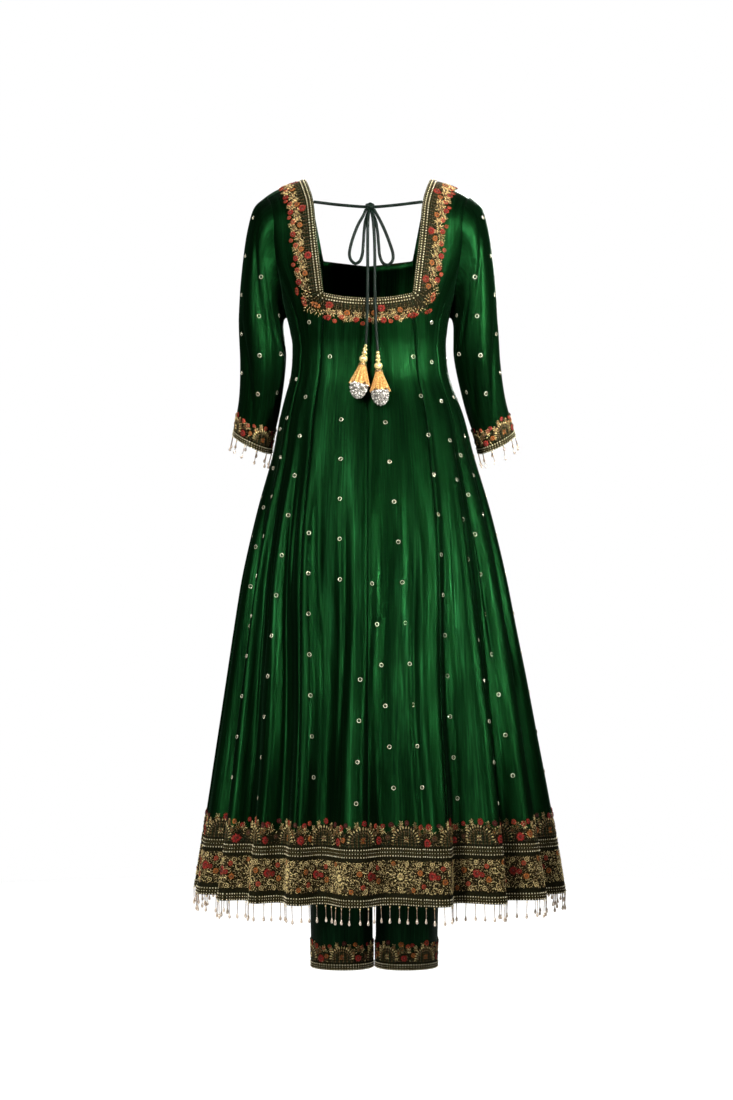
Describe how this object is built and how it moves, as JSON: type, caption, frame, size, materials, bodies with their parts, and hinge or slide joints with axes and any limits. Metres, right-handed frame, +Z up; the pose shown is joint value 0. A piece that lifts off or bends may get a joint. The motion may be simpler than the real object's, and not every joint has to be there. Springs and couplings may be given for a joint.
{
  "type": "flared tunic and trouser suit",
  "caption": "Flared ankle-skimming kali tunic with three-quarter sleeves, a square back neck with a tasselled tie and beaded borders, worn over straight trousers.",
  "frame": {"origin": "midway between the two points where the neck opening meets the shoulder seams", "axes": "+Z up, -Y out of the garment's back, +Y out of its front, +X to the wearer's right"},
  "size_m": [0.6363, 0.5909, 1.3539],
  "materials": {
    "green_silk": "slubbed silk with a soft sheen",
    "gold_lace": "metallic thread lace with beads",
    "gold_tissue": "pleated metallic tissue",
    "crystal": "faceted silver beads",
    "cord_satin": "satin rouleau cord"
  },
  "bodies": {
    "root": {"tunic_front_side_left": "green_silk", "tunic_front_kali_left": "green_silk", "tunic_back_kali_left": "green_silk", "tunic_back_side_left": "green_silk", "tunic_back_centre_left": "green_silk", "tunic_back_centre_right": "green_silk", "tunic_back_side_right": "green_silk", "tunic_back_kali_right": "green_silk", "tunic_front_kali_right": "green_silk", "tunic_front_side_right": "green_silk", "tunic_front_centre": "green_silk", "hem_lace": "gold_lace", "hem_bead_fringe": "gold_lace", "neck_lace": "gold_lace", "sleeve_right": "green_silk", "cuff_bead_fringe_right": "gold_lace", "trouser_back_right": "green_silk", "trouser_front_right": "green_silk", "trouser_hem_lace_right": "gold_lace", "sleeve_left": "green_silk", "cuff_bead_fringe_left": "gold_lace", "trouser_back_left": "green_silk", "trouser_front_left": "green_silk", "trouser_hem_lace_left": "gold_lace", "trouser_waistband": "green_silk", "tie_bridge_left": "cord_satin", "tie_bridge_right": "cord_satin", "tie_loop_left": "cord_satin", "tie_loop_right": "cord_satin", "tie_tail_left": "cord_satin", "tie_tail_right": "cord_satin", "tie_knot": "cord_satin", "tassel_beads_left": "gold_lace", "tassel_bell_left": "gold_tissue", "tassel_bead_dome_left": "crystal", "tassel_beads_right": "gold_lace", "tassel_bell_right": "gold_tissue", "tassel_bead_dome_right": "crystal"}
  },
  "joints": []
}
